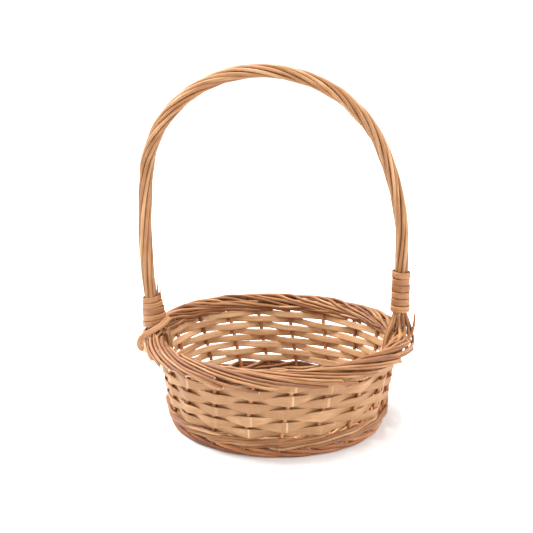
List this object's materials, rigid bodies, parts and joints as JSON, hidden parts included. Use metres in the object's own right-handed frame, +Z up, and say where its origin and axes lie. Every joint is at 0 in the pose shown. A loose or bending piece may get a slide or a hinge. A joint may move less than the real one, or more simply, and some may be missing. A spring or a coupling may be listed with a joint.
{
  "type": "woven market basket",
  "caption": "Round woven basket of willow rods and chip splints with a flared rod border and a tall fixed roped hoop handle.",
  "frame": {"origin": "middle of the foot, on the plane the basket stands on", "axes": "+Z up, the handle stands in the XZ plane, +X towards the leg that comes down more upright"},
  "size_m": [0.2788, 0.2778, 0.3613],
  "materials": {
    "peeled_willow": "satin",
    "red_willow": "satin",
    "chip_splint": "satin",
    "split_ribbon": "satin"
  },
  "bodies": {
    "root": {"foot_border": "red_willow", "base_sticks_lengthwise": "red_willow", "base_sticks_crosswise": "red_willow", "base_weavers_lower": "peeled_willow", "base_weavers_upper": "peeled_willow", "side_stakes": "red_willow", "lower_wale": "peeled_willow", "upper_wale": "peeled_willow", "splint_row_1": "chip_splint", "splint_row_2": "chip_splint", "splint_row_3": "chip_splint", "splint_row_4": "chip_splint", "splint_row_5": "chip_splint", "splint_row_6": "chip_splint", "splint_row_7": "chip_splint", "splint_row_8": "chip_splint", "border_rods_first": "peeled_willow", "border_rods_second": "peeled_willow", "handle_core": "red_willow", "handle_strands": "peeled_willow", "right_binding": "split_ribbon", "left_binding": "split_ribbon", "right_handle_tails": "peeled_willow", "left_handle_tails": "peeled_willow", "left_border_lashing": "split_ribbon", "loose_rod_ends": "red_willow"}
  },
  "joints": []
}
